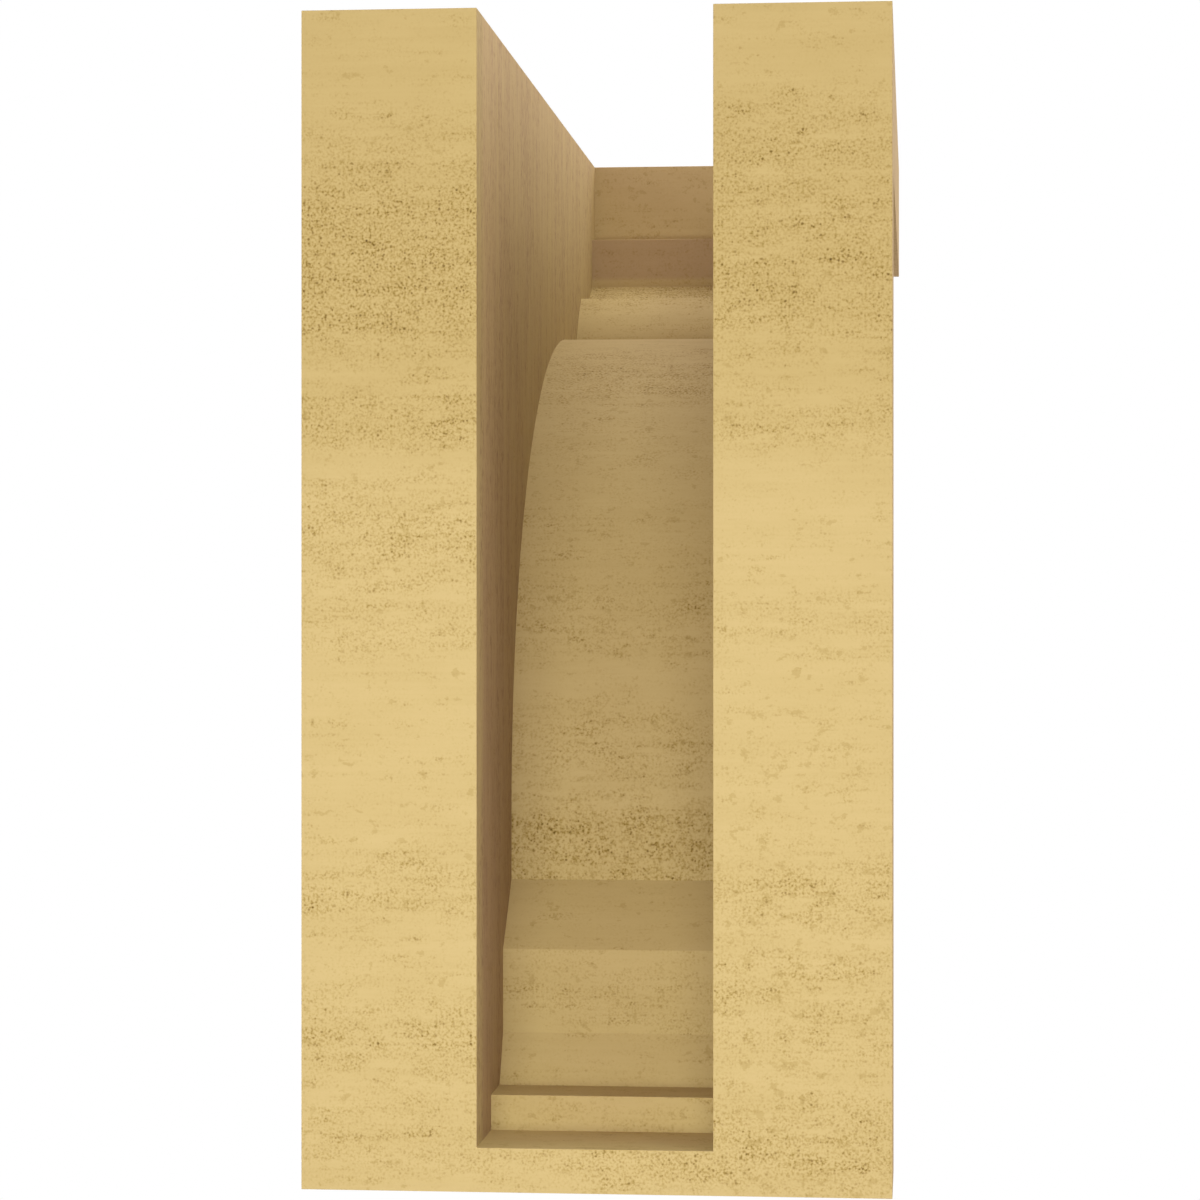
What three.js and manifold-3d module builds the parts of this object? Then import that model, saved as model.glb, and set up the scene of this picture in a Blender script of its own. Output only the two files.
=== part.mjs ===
// Hollow moulded bracket corbel. Millimetres, +Z up, front towards -Y, back face on the plane Y = 0.
// Origin: mid-width and mid-height of the bottom rail's back face, where the corbel meets the wall.
import * as THREE from "three";
import * as BufferGeometryUtils from "three/addons/utils/BufferGeometryUtils.js";
import Module from "manifold-3d";

const wasm = await Module();
wasm.setup();

// Overall size
const width = 254;
const depth = 508;
const height = 508;

// Full-width slabs: the cap on top and the plate against the wall
const capThickness = 63.5;
const plateThickness = 63.5;

// Hollow: a parallel-sided slot from the back and the top, behind a thin front shell
const slotWidth = 101.6;
const shellThickness = 19.05;
const capFrontWall = 22.2;
const capFloorThickness = 19.05;
const plateWebThickness = 19.05;
const railHeight = 19.05;

// Centre bracket under the cap
const bracketWidth = 139.7;

// Front mouldings, from the cap's underside down and inwards
const fasciaSetback = 19.05;
const fasciaHeight = 20.2;
const slopeRun = 37.7;
const slopeDrop = 19.7;
const soffitRun = 32.0;
const smallCoveRun = 20.3;
const smallCoveDrop = 29;
const smallCoveRadius = 62.5;
const ledgeRun = 46.15;

// Shank and foot, from the bottom up
const footLift = 15.6;
const toeRun = 19.5;
const toeDrop = 36.5;
const footHeight = 34.8;
const ankleChamfer = 29.2;
const shankHeight = 39;
const shankDepth = 132.3;

// Facets on the curves
const smallCoveFacets = 6;
const bigCoveFacets = 30;

// How far a cutting solid runs past the face it leaves through
const cutPast = 10;

// Heights of the main levels, and the depth each vertical face stands off the wall
const bottom = -railHeight / 2;
const top = bottom + height;
const capUnderside = top - capThickness;
const fasciaFace = depth - fasciaSetback;
const smallCoveTop = { y: fasciaFace - slopeRun - soffitRun, z: capUnderside - fasciaHeight - slopeDrop };
const smallCoveFoot = { y: smallCoveTop.y - smallCoveRun, z: smallCoveTop.z - smallCoveDrop };
const footUnderside = bottom + footLift;
const footFace = shankDepth - ankleChamfer;
const ankleFoot = footUnderside + toeDrop + footHeight;
const shankTop = ankleFoot + ankleChamfer + shankHeight;
const bigCoveMouth = smallCoveFoot.y - ledgeRun;

// Hollow arc of a given radius from one point to another, its centre on the air side below and in front
function hollowArc(start, end, radius, facets) {
  const half = Math.hypot(end.y - start.y, end.z - start.z) / 2;
  const rise = Math.sqrt(radius * radius - half * half);
  const run = { y: (start.y - end.y) / (2 * half), z: (start.z - end.z) / (2 * half) };
  const centre = { y: (start.y + end.y) / 2 + run.z * rise, z: (start.z + end.z) / 2 - run.y * rise };
  const from = Math.atan2(start.z - centre.z, start.y - centre.y);
  const to = Math.atan2(end.z - centre.z, end.y - centre.y);
  return new THREE.EllipseCurve(centre.y, centre.z, radius, radius, from, to).getPoints(facets);
}

// Big cove: a quarter round that takes up the room between the ledge and the shank
const bigCove = new THREE.EllipseCurve(
  bigCoveMouth, shankTop, bigCoveMouth - shankDepth, smallCoveFoot.z - shankTop, Math.PI / 2, Math.PI);

// Front of the bracket as (depth off the wall, height), from the cap's underside to the plate
const frontLine = [
  new THREE.Vector2(fasciaFace, capUnderside),
  new THREE.Vector2(fasciaFace, capUnderside - fasciaHeight),
  new THREE.Vector2(fasciaFace - slopeRun, smallCoveTop.z),
  ...hollowArc(smallCoveTop, smallCoveFoot, smallCoveRadius, smallCoveFacets),
  ...bigCove.getPoints(bigCoveFacets),
  new THREE.Vector2(shankDepth, ankleFoot + ankleChamfer),
  new THREE.Vector2(footFace, ankleFoot),
  new THREE.Vector2(footFace, footUnderside + toeDrop),
  new THREE.Vector2(footFace - toeRun, footUnderside),
  new THREE.Vector2(plateThickness, footUnderside),
];

// The same line moved into the moulding by the shell's thickness, corners mitred
function insetLine(line, distance) {
  const run = (a, b) => b.clone().sub(a).normalize();
  return line.map((p, i) => {
    const before = i > 0 ? run(line[i - 1], p) : run(p, line[i + 1]);
    const after = i < line.length - 1 ? run(p, line[i + 1]) : before;
    const side = new THREE.Vector2(before.y + after.y, -before.x - after.x).normalize();
    const stretch = side.dot(new THREE.Vector2(before.y, -before.x));
    return p.clone().addScaledVector(side, distance / stretch);
  });
}

const shellLine = insetLine(frontLine, shellThickness);

// Bracket: its side outline runs back to the wall, so it is one piece with the cap and the plate
const bracketOutline = [
  ...frontLine,
  new THREE.Vector2(0, footUnderside),
  new THREE.Vector2(0, top),
  new THREE.Vector2(fasciaFace, top),
];

// Hollow: cap pocket, then the shell's inner line, the web behind the foot, and the rail's top
const pocketFloor = capUnderside + capFloorThickness;
const webFace = plateThickness - plateWebThickness;
const railTop = bottom + railHeight;
const shelf = shellLine[shellLine.length - 1].y;
const hollowOutline = [
  new THREE.Vector2(-cutPast, top + cutPast),
  new THREE.Vector2(depth - capFrontWall, top + cutPast),
  new THREE.Vector2(depth - capFrontWall, pocketFloor),
  new THREE.Vector2(shellLine[0].x, pocketFloor),
  ...shellLine.slice(1, -1),
  new THREE.Vector2(webFace, shelf),
  new THREE.Vector2(webFace, railTop),
  new THREE.Vector2(-cutPast, railTop),
];

// Side outline (depth, height) drawn out across the width, centred on X = 0, front towards -Y
function acrossWidth(outline, span) {
  const shape = new THREE.Shape(outline);
  const geometry = new THREE.ExtrudeGeometry(shape, { depth: span, bevelEnabled: false, curveSegments: 1 });
  geometry.translate(0, 0, -span / 2);
  const toFrame = new THREE.Matrix4().makeBasis(
    new THREE.Vector3(0, -1, 0), new THREE.Vector3(0, 0, 1), new THREE.Vector3(-1, 0, 0));
  return geometry.applyMatrix4(toFrame);
}

// Box given by its low and high corners
function boxBetween(low, high) {
  const geometry = new THREE.BoxGeometry(high[0] - low[0], high[1] - low[1], high[2] - low[2]);
  return geometry.translate((low[0] + high[0]) / 2, (low[1] + high[1]) / 2, (low[2] + high[2]) / 2);
}

function toSolid(geometry) {
  const plain = new THREE.BufferGeometry();
  plain.setAttribute("position", geometry.getAttribute("position"));
  if (geometry.index) plain.setIndex(geometry.index);
  const merged = BufferGeometryUtils.mergeVertices(plain, 1e-4);
  return new wasm.Manifold(new wasm.Mesh({
    numProp: 3,
    vertProperties: new Float32Array(merged.getAttribute("position").array),
    triVerts: new Uint32Array(merged.index.array),
  }));
}

function toGeometry(solid) {
  const mesh = solid.getMesh();
  const geometry = new THREE.BufferGeometry();
  geometry.setAttribute("position", new THREE.BufferAttribute(new Float32Array(mesh.vertProperties), 3));
  geometry.setIndex(new THREE.BufferAttribute(new Uint32Array(mesh.triVerts), 1));
  const faceted = geometry.toNonIndexed();
  faceted.computeVertexNormals();
  return faceted;
}

const cap = toSolid(boxBetween([-width / 2, -depth, capUnderside], [width / 2, 0, top]));
const plate = toSolid(boxBetween([-width / 2, -plateThickness, bottom], [width / 2, 0, top]));
const bracket = toSolid(acrossWidth(bracketOutline, bracketWidth));
const hollow = toSolid(acrossWidth(hollowOutline, slotWidth));
const moulding = cap.add(plate).add(bracket).subtract(hollow);

const group = new THREE.Group();
group.name = "bracket_corbel";
const corbel = new THREE.Mesh(toGeometry(moulding), new THREE.MeshStandardMaterial({
  color: "#dcc385",
  roughness: 0.85,
  metalness: 0,
}));
corbel.name = "corbel";
group.add(corbel);

export default group;
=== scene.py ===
"""Hollow moulded bracket corbel, seen from the side that goes against the wall."""
import math

import bpy
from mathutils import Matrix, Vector


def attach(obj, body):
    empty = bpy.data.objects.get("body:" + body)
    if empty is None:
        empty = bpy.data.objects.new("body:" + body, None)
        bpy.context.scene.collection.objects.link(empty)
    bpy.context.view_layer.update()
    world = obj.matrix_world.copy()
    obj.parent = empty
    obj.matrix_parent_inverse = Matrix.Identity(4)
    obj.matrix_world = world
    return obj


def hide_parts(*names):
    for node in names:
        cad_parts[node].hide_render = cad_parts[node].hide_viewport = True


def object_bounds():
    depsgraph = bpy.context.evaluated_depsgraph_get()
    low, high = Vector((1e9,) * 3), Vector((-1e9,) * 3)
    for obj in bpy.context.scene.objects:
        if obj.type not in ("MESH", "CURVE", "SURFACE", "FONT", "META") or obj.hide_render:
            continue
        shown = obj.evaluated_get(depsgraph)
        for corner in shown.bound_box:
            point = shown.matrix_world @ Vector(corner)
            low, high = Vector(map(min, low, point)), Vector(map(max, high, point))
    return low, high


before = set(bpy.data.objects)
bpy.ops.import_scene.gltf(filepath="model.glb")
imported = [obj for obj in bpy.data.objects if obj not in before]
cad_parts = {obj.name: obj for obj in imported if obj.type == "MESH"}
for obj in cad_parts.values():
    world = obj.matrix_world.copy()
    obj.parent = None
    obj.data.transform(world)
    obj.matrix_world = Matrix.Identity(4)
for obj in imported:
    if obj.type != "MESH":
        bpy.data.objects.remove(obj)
cad_low, cad_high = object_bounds()
MM = 0.001


# Camera, level with the middle of the corbel, behind the wall face and a little to one side.
# The picture's middle is not where the lens points, so the frame is shifted sideways.
camera_across = -136.7 * MM
camera_back = 1301.0 * MM
camera_lowered = 0.2 * MM
turned_from_square = math.radians(4.866)
middle_height = (cad_low.z + cad_high.z) / 2
camera = bpy.data.objects.new("camera", bpy.data.cameras.new("camera"))
bpy.context.collection.objects.link(camera)
camera.location = (camera_across, camera_back, middle_height - camera_lowered)
looking = Vector((math.sin(turned_from_square), -math.cos(turned_from_square), 0))
camera.rotation_mode = "QUATERNION"
camera.rotation_quaternion = looking.to_track_quat("-Z", "Y")
camera.data.sensor_width = 36
camera.data.lens = 91.8
camera.data.shift_x = -0.0458
camera.data.shift_y = 0.0003
camera.data.clip_start = 0.05
camera.data.clip_end = 60
bpy.context.scene.camera = camera


# The moulding: one hollow casting in rigid foam, so cap, plate, bracket and shell are one skin.
# It leaves its mould with every arris eased by a little under a millimetre.
weld_distance = 0.01 * MM
flat_within = math.radians(0.2)
arris_radius = 0.8 * MM
arris_steps = 3
arris_turn = math.radians(12)


def moulded_skin(name, solid):
    """The solid's own skin with its flat faces whole and every sharp arris rounded."""
    mesh = solid.data.copy()
    mesh.name = name
    mesh.materials.clear()
    skin = bpy.data.objects.new(name, mesh)
    bpy.context.collection.objects.link(skin)
    weld = skin.modifiers.new("weld", "WELD")
    weld.merge_threshold = weld_distance
    whole = skin.modifiers.new("whole flat faces", "DECIMATE")
    whole.decimate_type = "DISSOLVE"
    whole.angle_limit = flat_within
    ease = skin.modifiers.new("eased arrises", "BEVEL")
    ease.width = arris_radius
    ease.segments = arris_steps
    ease.limit_method = "ANGLE"
    ease.angle_limit = arris_turn
    shade = skin.modifiers.new("flat faces shade flat", "WEIGHTED_NORMAL")
    shade.mode = "FACE_AREA"
    shade.weight = 100
    mesh.shade_smooth()
    return skin


class Wire:
    """An output socket of a finish; arithmetic on it adds Math nodes."""

    def __init__(self, tree, output=None):
        self.tree, self.output = tree, output

    def node(self, kind, settings=None, sockets=None, out=0):
        """One shader node: its settings first, then its sockets' values or links."""
        made = self.tree.nodes.new("ShaderNode" + kind)
        for name, value in (settings or {}).items():
            setattr(made, name, value)
        for name, value in (sockets or {}).items():
            if isinstance(value, Wire):
                self.tree.links.new(value.output, made.inputs[name])
            else:
                made.inputs[name].default_value = value
        return Wire(self.tree, made.outputs[out] if made.outputs else None)

    def beside(self, out):
        """Another output of the node that this one comes from."""
        return Wire(self.tree, self.output.node.outputs[out])

    def math(self, operation, *values):
        """A Math node with these values."""
        return self.node("Math", {"operation": operation}, dict(enumerate(values)))

    def __add__(self, other):
        return self.math("ADD", self, other)

    def __sub__(self, other):
        return self.math("SUBTRACT", self, other)

    def __rsub__(self, other):
        return self.math("SUBTRACT", other, self)

    def __mul__(self, other):
        return self.math("MULTIPLY", self, other)

    def __abs__(self):
        return self.math("ABSOLUTE", self)

    __radd__ = __add__
    __rmul__ = __mul__

    def rising(self, low, high):
        """0 up to low, 1 from high on, and smooth between."""
        settings = {"interpolation_type": "SMOOTHSTEP"}
        return self.node("MapRange", settings, {"Value": self, "From Min": low, "From Max": high})

    def falling(self, low, high):
        """1 up to low, 0 from high on, and smooth between."""
        return 1.0 - self.rising(low, high)

    def stretched(self, scale, shift=0.0):
        """This vector times a scale for each axis, plus one shift."""
        return self.node("VectorMath", {"operation": "MULTIPLY_ADD"}, {0: self, 1: scale, 2: (shift,) * 3})

    def turned(self, other, amount):
        """This vector, going over to another by an amount."""
        return self.node("Mix", {"data_type": "VECTOR"}, {0: amount, 4: self, 5: other}, 1)


class Spot:
    """A spot of the moulding: where it is, which way it faces, and the noise there. Lengths in mm."""

    past_the_slots_sides = (52, 60)
    in_from_the_back = (-24, -12)
    across_the_middle = (-20, 20)

    def __init__(self, tree):
        start = Wire(tree)
        self.place = start.node("TexCoord", out="Object").stretched((1 / MM,) * 3)
        self.across = start.node("SeparateXYZ", None, {0: self.place})
        self.depth = self.across.beside("Y")
        self.height = self.across.beside("Z")
        facing = start.node("NewGeometry", out="True Normal")
        facing_across = start.node("SeparateXYZ", None, {0: facing})
        self.facing_wall = facing_across.beside("Y")
        self.facing_up = facing_across.beside("Z")
        self.on_side = abs(facing_across).rising(0.6, 0.8)
        self.on_plus_x = self.across.rising(*self.across_the_middle)
        in_slot = abs(self.across).falling(*self.past_the_slots_sides) * self.facing_wall.rising(-0.3, -0.1)
        self.in_hollow = self.depth.falling(*self.in_from_the_back) * in_slot

    def grain(self, length, thickness, seed, detail=2.0, roughness=0.5):
        """Noise so long along the grain and so thick across it: level, but upright on the sides."""
        thin = 1 / thickness
        level = self.place.stretched((1 / length, thin, thin), seed)
        upright = self.place.stretched((thin, thin, 1 / length), seed)
        return self.place.node("TexNoise", None, {
            "Vector": level.turned(upright, self.on_side), "Scale": 1.0,
            "Detail": detail, "Roughness": roughness})

    def specks(self, size, seed, faintest=0.34, strength=28):
        """Round grains of one size, the same on every face: many faint, a few dark."""
        grains = self.place.node("TexNoise", None, {
            "Vector": self.place.stretched((1 / size,) * 3, seed), "Scale": 1.0,
            "Detail": 1.0, "Roughness": 0.5})
        above = grains.math("MAXIMUM", grains - faintest, 0.0)
        return above * above * strength

    def dots(self, spacing, seed):
        """Lone round dots, one to a cell of that spacing, few of them dark."""
        cells = {"Vector": self.place.stretched((1 / spacing,) * 3, seed), "Scale": 1.0}
        from_middle = self.place.node("TexVoronoi", None, cells)
        luck = from_middle.node("SeparateColor", None, {0: from_middle.beside("Color")})
        return from_middle.falling(0.10, 0.45) * luck.rising(0.45, 1.1)


# Bands where the flecks crowd: height of the middle and half the thickness in mm, then how
# crowded the band is on the plate's +X half, on its -X half and on the faces down in the hollow.
fleck_bands = (
    (442, 16, 0.15, 0.50, 0.05),
    (393, 40, 0.95, 0.62, 0.05),
    (358, 16, 0.10, 0.20, 0.50),
    (322, 15, 0.60, 0.35, 0.10),
    (272, 22, 0.52, 0.00, 0.10),
    (234, 14, 0.30, 0.20, 0.25),
    (176, 18, 0.00, 0.05, 0.34),
    (130, 22, 0.05, 0.05, 0.85),
    (118, 15, 0.38, 0.48, 0.00),
    (84, 16, 0.05, 0.32, 0.05),
    (64, 12, 0.30, 0.20, 0.25),
    (50, 13, 0.45, 0.20, 0.00),
    (12, 20, 0.32, 0.68, 0.15),
)
band_wander = 45
band_core, band_edge = 0.3, 1.4
crowding_between_bands = 0.08
crowding_on_small_slope = 0.8
spared_on_sides = 0.85


def fleck_crowding(spot):
    """How crowded the flecks are: bands with ragged edges, broken up by streaks and clusters."""
    wander = spot.height + (spot.grain(60, 12, 83.1) - 0.5) * band_wander
    bands = 0.0
    for middle, half, plus_x, minus_x, hollow in fleck_bands:
        near = abs(wander - middle).falling(half * band_core, half * band_edge)
        plate = minus_x + spot.on_plus_x * (plus_x - minus_x)
        bands = near * (plate + spot.in_hollow * (hollow - plate)) + bands
    under_the_fascia = spot.height.rising(405, 412) * spot.height.falling(432, 440)
    small_slope = spot.facing_up.rising(0.7, 0.85) * under_the_fascia
    low_slopes = spot.facing_up.rising(0.35, 0.6) * spot.height.falling(117, 121)
    bands = bands + small_slope * crowding_on_small_slope
    bands = bands * (1.0 - low_slopes) * (1.0 - spot.on_side * spared_on_sides)
    streak = spot.grain(28, 3.0, 11.3, roughness=0.65)
    cluster = spot.grain(13, 8, 71.9, roughness=0.65)
    breaks = (streak - 0.5) * 3.4 + (cluster - 0.5) * 3.6
    scattered = (streak * 0.5 + cluster * 0.5).rising(0.54, 0.68) * 0.35
    broken = (crowding_between_bands + bands) * (1.0 + breaks * (1.15 - bands * 0.7)) + scattered
    return broken.math("MAXIMUM", broken, 0.0)


def painted_shade_and_side_marks(spot, row, fibre, mark):
    """Painted ruddy shade down the slot's sides and on its far wall, and the real marks of every side."""
    # Painted shade: the hollow is drawn darker low on the slot's sides, on its far wall, most under the
    # pocket, and a little higher up.
    low_down_the_slot = spot.on_side * spot.in_hollow * spot.height.falling(100, 380)
    far_wall = spot.in_hollow * spot.facing_wall.rising(0.5, 0.7) * spot.depth.falling(-440, -425)
    under_pocket = spot.height.rising(429, 433) * spot.height.falling(453, 455)
    upper_hollow = spot.in_hollow * spot.height.rising(90, 200)
    painted_hollow_shade = low_down_the_slot * 0.22 + far_wall * (under_pocket * 0.2 + 0.1) + upper_hollow * 0.025
    of_sides = spot.on_side * (row.rising(0.3, 0.75) * 0.06 + fibre * 0.1)
    return painted_hollow_shade + mark * 0.25 + of_sides


# The finish is one matte tan coat, and what darkens it works like an ink on red, green and blue.
# The ruddy ink also paints shade into the hollow, which these lamps alone leave lighter than the real one.
tan = (0.478, 0.395, 0.147)
olive_ink = (1.0, 1.19, 2.1)
brown_ink = (1.0, 1.2, 1.8)
ruddy_ink = (0.9, 1.25, 0.6)
# Painted shade tint: the hollow is drawn a shade redder and less green than the lamps leave it.
painted_hollow_tint = (0.025, -0.015, 0.0)
matte_roughness = 0.76
pore_depth = 0.15 * MM


def timber_look(name):
    """Matte tan skin: flecks and dots in bands, soft blotches, cloudiness, fibres, marks and painted shade.
    """
    material = bpy.data.materials.new(name)
    material.use_nodes = True
    tree = material.node_tree
    tree.nodes.clear()
    spot = Spot(tree)
    outside = 1.0 - spot.in_hollow
    crowding = fleck_crowding(spot)
    dot = (spot.dots(1.5, 5.3) + spot.dots(1.9, 9.7)) * crowding * 0.7
    fleck = spot.specks(1.15, 23.1) * crowding
    low_on_minus_x = (1.0 - spot.on_plus_x) * spot.height.falling(180, 260) * outside
    patches = spot.grain(7, 5.5, 31.9, detail=3, roughness=0.7) + low_on_minus_x * 0.035
    blotch = patches.rising(0.60, 0.68)
    cloud = spot.grain(50, 10, 47.3).rising(0.3, 0.7)
    fibre = spot.grain(45, 1.6, 61.7, roughness=0.6).rising(0.3, 0.75)
    row = spot.grain(120, 11, 27.1, roughness=0.7)
    dashes = spot.grain(6, 1.8, 17.9, roughness=0.7)
    mark = dashes.rising(0.48, 0.70) * row.rising(0.38, 0.66) * spot.on_side
    # Painted shade: the outside is drawn darker towards its top.
    painted_shade_up_top = outside * spot.height.rising(270, 350)
    stain = fleck * 0.125 + blotch * 0.13 + cloud * 0.03 + fibre * 0.02 + mark * 0.22
    stain = stain + painted_shade_up_top * 0.08
    # Painted shade of the hollow, together with the sides' real marks, rows and fibres.
    shade = painted_shade_and_side_marks(spot, row, fibre, mark)
    channels = []
    for clean, olive, brown, ruddy, tint_of_shade in zip(tan, olive_ink, brown_ink, ruddy_ink, painted_hollow_tint):
        ink = stain * -olive + dot * -brown + shade * -ruddy + spot.in_hollow * tint_of_shade
        channels.append(clean * ink.math("EXPONENT", ink))
    skin = stain.node("CombineColor", None, dict(enumerate(channels)))
    pores = stain.node("TexNoise", None, {"Vector": spot.place, "Scale": 0.6, "Detail": 1.0})
    relief = stain.node("Bump", None, {"Strength": 0.3, "Distance": pore_depth, "Height": pores})
    shader = stain.node("BsdfPrincipled", None, {
        "Base Color": skin, "Roughness": matte_roughness + fleck * 0.03,
        "Specular IOR Level": 0.35, "Normal": relief})
    shader.node("OutputMaterial", None, {"Surface": shader})
    return material


corbel = moulded_skin("corbel_moulding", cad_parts["corbel"])
corbel.data.materials.append(timber_look("timber look moulding"))
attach(corbel, "root")
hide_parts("corbel")


# Plain pale floor, well below a part that hangs on a wall. It takes and returns light as matte
# paint does, but the camera sees it evenly lit, so the surround's tint doesn't colour it.
floor_drop = 900 * MM
floor_radius = 4000 * MM
floor_paint = (0.9, 0.9, 0.9, 1)
bpy.ops.mesh.primitive_circle_add(vertices=128, radius=floor_radius, fill_type="NGON")
floor = bpy.context.object
floor.name = "floor"
floor.location = (0, 0, cad_low.z - floor_drop)
pale = bpy.data.materials.new("pale floor")
pale.use_nodes = True
pale.node_tree.nodes.clear()
paint = Wire(pale.node_tree)
matte = paint.node("BsdfDiffuse", None, {"Color": floor_paint})
lit_evenly = paint.node("Emission", None, {"Color": floor_paint, "Strength": 1.0})
seen_directly = paint.node("LightPath", out="Is Camera Ray")
surface = paint.node("MixShader", None, {0: seen_directly, 1: matte, 2: lit_evenly})
paint.node("OutputMaterial", None, {"Surface": surface})
floor.data.materials.append(pale)


# Plain soft studio light: a white surround that shines more dimly and rosier than it looks, and soft
# boxes. One stands below the camera, one to its left, one at each side, the rest above the cap.
white = (1, 1, 1, 1)
rosy = (1.05, 0.7, 1.06, 1)
glow_strength = 0.48
world = bpy.data.worlds.new("white surround")
world.use_nodes = True
world.node_tree.nodes.clear()
surround = Wire(world.node_tree)
look = surround.node("Background", None, {"Color": white, "Strength": 1.0})
glow = surround.node("Background", None, {"Color": rosy, "Strength": glow_strength})
seen = surround.node("LightPath", out="Is Camera Ray")
either = surround.node("MixShader", None, {0: seen, 1: glow, 2: look})
surround.node("OutputWorld", None, {"Surface": either})
bpy.context.scene.world = world
bpy.context.scene.view_settings.view_transform = "Standard"


def soft_box(name, place, aim, width, watts):
    """A square lamp at a place, turned to a point; both in metres."""
    lamp = bpy.data.lights.new(name, "AREA")
    lamp.size = width
    lamp.energy = watts
    box = bpy.data.objects.new(name, lamp)
    bpy.context.collection.objects.link(box)
    box.location = place
    box.rotation_mode = "QUATERNION"
    box.rotation_quaternion = (Vector(aim) - Vector(place)).to_track_quat("-Z", "Y")
    box.visible_camera = False


lamps_aim = (0, -0.15, 0.25)
soft_box("lamp below the camera", (-0.14, 1.2, 0.12), lamps_aim, 0.5, 6.1)
soft_box("lamp left of the camera", (0.12, 1.3, 0.10), lamps_aim, 0.4, 7.0)
soft_box("lamp over the cap", (0, -0.6, 1.6), lamps_aim, 0.8, 9.3)
soft_box("lamp above one corner", (-0.8, -0.8, 1.3), lamps_aim, 0.8, 4.5)
soft_box("lamp high on the right", (-0.8, 0.3, 1.4), lamps_aim, 0.8, 6.4)
soft_box("lamp beyond the cap", (-1.2, -1.1, 1.0), lamps_aim, 1.2, 9.3)
soft_box("lamp at the left side", (1.5, 0.3, 0.4), lamps_aim, 1.5, 14.0)
soft_box("lamp at the right side", (-1.5, 0.3, 0.4), lamps_aim, 1.5, 4.7)
